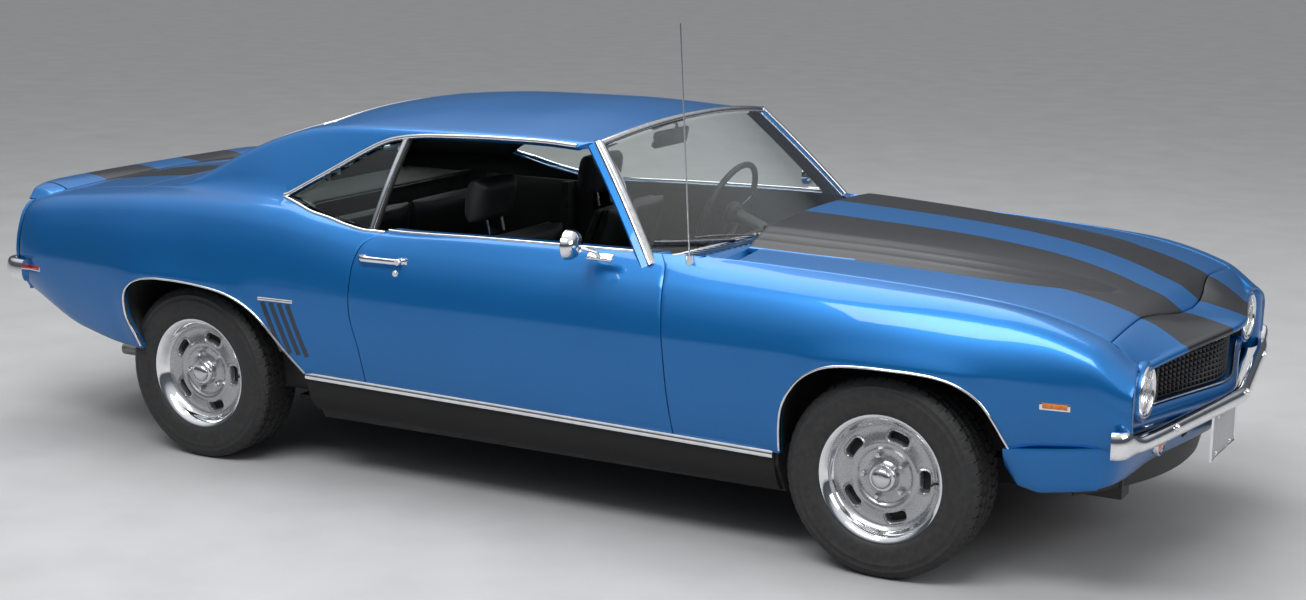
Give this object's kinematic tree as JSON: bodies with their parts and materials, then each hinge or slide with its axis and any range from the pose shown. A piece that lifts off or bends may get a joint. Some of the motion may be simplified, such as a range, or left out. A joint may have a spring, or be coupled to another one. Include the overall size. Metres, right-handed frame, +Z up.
{
  "type": "two-door hardtop muscle car",
  "caption": "Two-door hardtop muscle car with rolling and steered wheels, opening doors, hood and trunk lid, and an empty cabin.",
  "frame": {"origin": "on the floor, at the middle of the car's length and width", "axes": "+X forward, +Z up, +Y to the car's left"},
  "size_m": [4.724, 1.9684, 1.6841],
  "materials": {
    "paint": "metallic clear coat",
    "underseal": "matt",
    "black_plastic": "satin",
    "chrome": "polished",
    "plate": "gloss",
    "lamp_glass": "clear",
    "red_lens": "gloss",
    "glass": "clear",
    "vinyl": "grained vinyl",
    "dash": "grained",
    "chassis": "satin",
    "steel": "dull",
    "iron": "cast",
    "wheel": "painted silver with bright trim ring",
    "tyre": "rubber"
  },
  "bodies": {
    "body": {"floor_pan": "underseal", "firewall": "underseal", "hinge_pillars": "underseal", "aprons": "underseal", "radiator_support": "underseal", "trunk_floor": "underseal", "trunk_sides": "underseal", "fender_left": "paint", "fender_right": "paint", "quarter_left": "paint", "quarter_right": "paint", "roof_panel": "paint", "header_panel": "paint", "cowl_panel": "paint", "deck_panel": "paint", "tail_panel": "paint", "front_valance": "paint", "air_dam": "black_plastic", "front_bumper": "chrome", "rear_bumper": "chrome", "front_plate": "plate", "grille": "black_plastic", "headlamps": "lamp_glass", "tail_lamps": "red_lens", "windshield": "glass", "rear_window": "glass", "quarter_windows": "glass", "antenna": "chrome", "front_seats": "vinyl", "rear_seat": "vinyl", "dashboard": "dash", "front_subframe": "chassis", "rear_axle": "chassis", "exhaust": "steel", "fuel_tank": "steel", "engine": "iron", "spoiler_ends": "paint"},
    "hood": {"hood": "paint"},
    "trunk_lid": {"trunk_lid": "paint", "rear_spoiler": "paint"},
    "door_left": {"door_left": "paint", "door_glass_left": "glass", "mirror_left": "chrome"},
    "door_right": {"door_right": "paint", "door_glass_right": "glass", "mirror_right": "chrome"},
    "steering_wheel": {"steering_wheel": "dash"},
    "knuckle_left": {"knuckle_left": "iron"},
    "knuckle_right": {"knuckle_right": "iron"},
    "wheel_front_left": {"rim_front_left": "wheel", "tyre_front_left": "tyre"},
    "wheel_front_right": {"rim_front_right": "wheel", "tyre_front_right": "tyre"},
    "wheel_rear_left": {"rim_rear_left": "wheel", "tyre_rear_left": "tyre"},
    "wheel_rear_right": {"rim_rear_right": "wheel", "tyre_rear_right": "tyre"}
  },
  "joints": [
    {"name": "door_left_hinge", "type": "hinge", "parent": "body", "child": "door_left", "pos_m": [0.6, 0.872, 0.681], "axis": [0, 0, -1], "range_deg": [0, 65]},
    {"name": "door_right_hinge", "type": "hinge", "parent": "body", "child": "door_right", "pos_m": [0.6, -0.872, 0.681], "axis": [0, 0, 1], "range_deg": [0, 65]},
    {"name": "hood_hinge", "type": "hinge", "parent": "body", "child": "hood", "pos_m": [0.872, 0, 0.903], "axis": [0, -1, 0], "range_deg": [0, 50]},
    {"name": "trunk_hinge", "type": "hinge", "parent": "body", "child": "trunk_lid", "pos_m": [-1.56, 0, 0.95], "axis": [0, 1, 0], "range_deg": [0, 55]},
    {"name": "steer_left", "type": "hinge", "parent": "body", "child": "knuckle_left", "pos_m": [1.427, 0.745, 0.325], "axis": [0, 0, 1], "range_deg": [-30, 30]},
    {"name": "steer_right", "type": "hinge", "parent": "body", "child": "knuckle_right", "pos_m": [1.427, -0.745, 0.325], "axis": [0, 0, 1], "range_deg": [-30, 30]},
    {"name": "steering_wheel_turn", "type": "hinge", "parent": "body", "child": "steering_wheel", "pos_m": [0.262, 0.37, 0.905], "axis": [-0.9272, 0, 0.3746], "range_deg": [-480, 480]},
    {"name": "wheel_front_left_spin", "type": "hinge", "parent": "knuckle_left", "child": "wheel_front_left", "pos_m": [1.427, 0.757, 0.325], "axis": [0, 1, 0], "continuous": true},
    {"name": "wheel_front_right_spin", "type": "hinge", "parent": "knuckle_right", "child": "wheel_front_right", "pos_m": [1.427, -0.757, 0.325], "axis": [0, 1, 0], "continuous": true},
    {"name": "wheel_rear_left_spin", "type": "hinge", "parent": "body", "child": "wheel_rear_left", "pos_m": [-1.316, 0.757, 0.325], "axis": [0, 1, 0], "continuous": true},
    {"name": "wheel_rear_right_spin", "type": "hinge", "parent": "body", "child": "wheel_rear_right", "pos_m": [-1.316, -0.757, 0.325], "axis": [0, 1, 0], "continuous": true}
  ],
  "couplings": [
    {"joint": "steer_right", "follows": "steer_left", "ratio": 1},
    {"joint": "steering_wheel_turn", "follows": "steer_left", "ratio": 16}
  ]
}
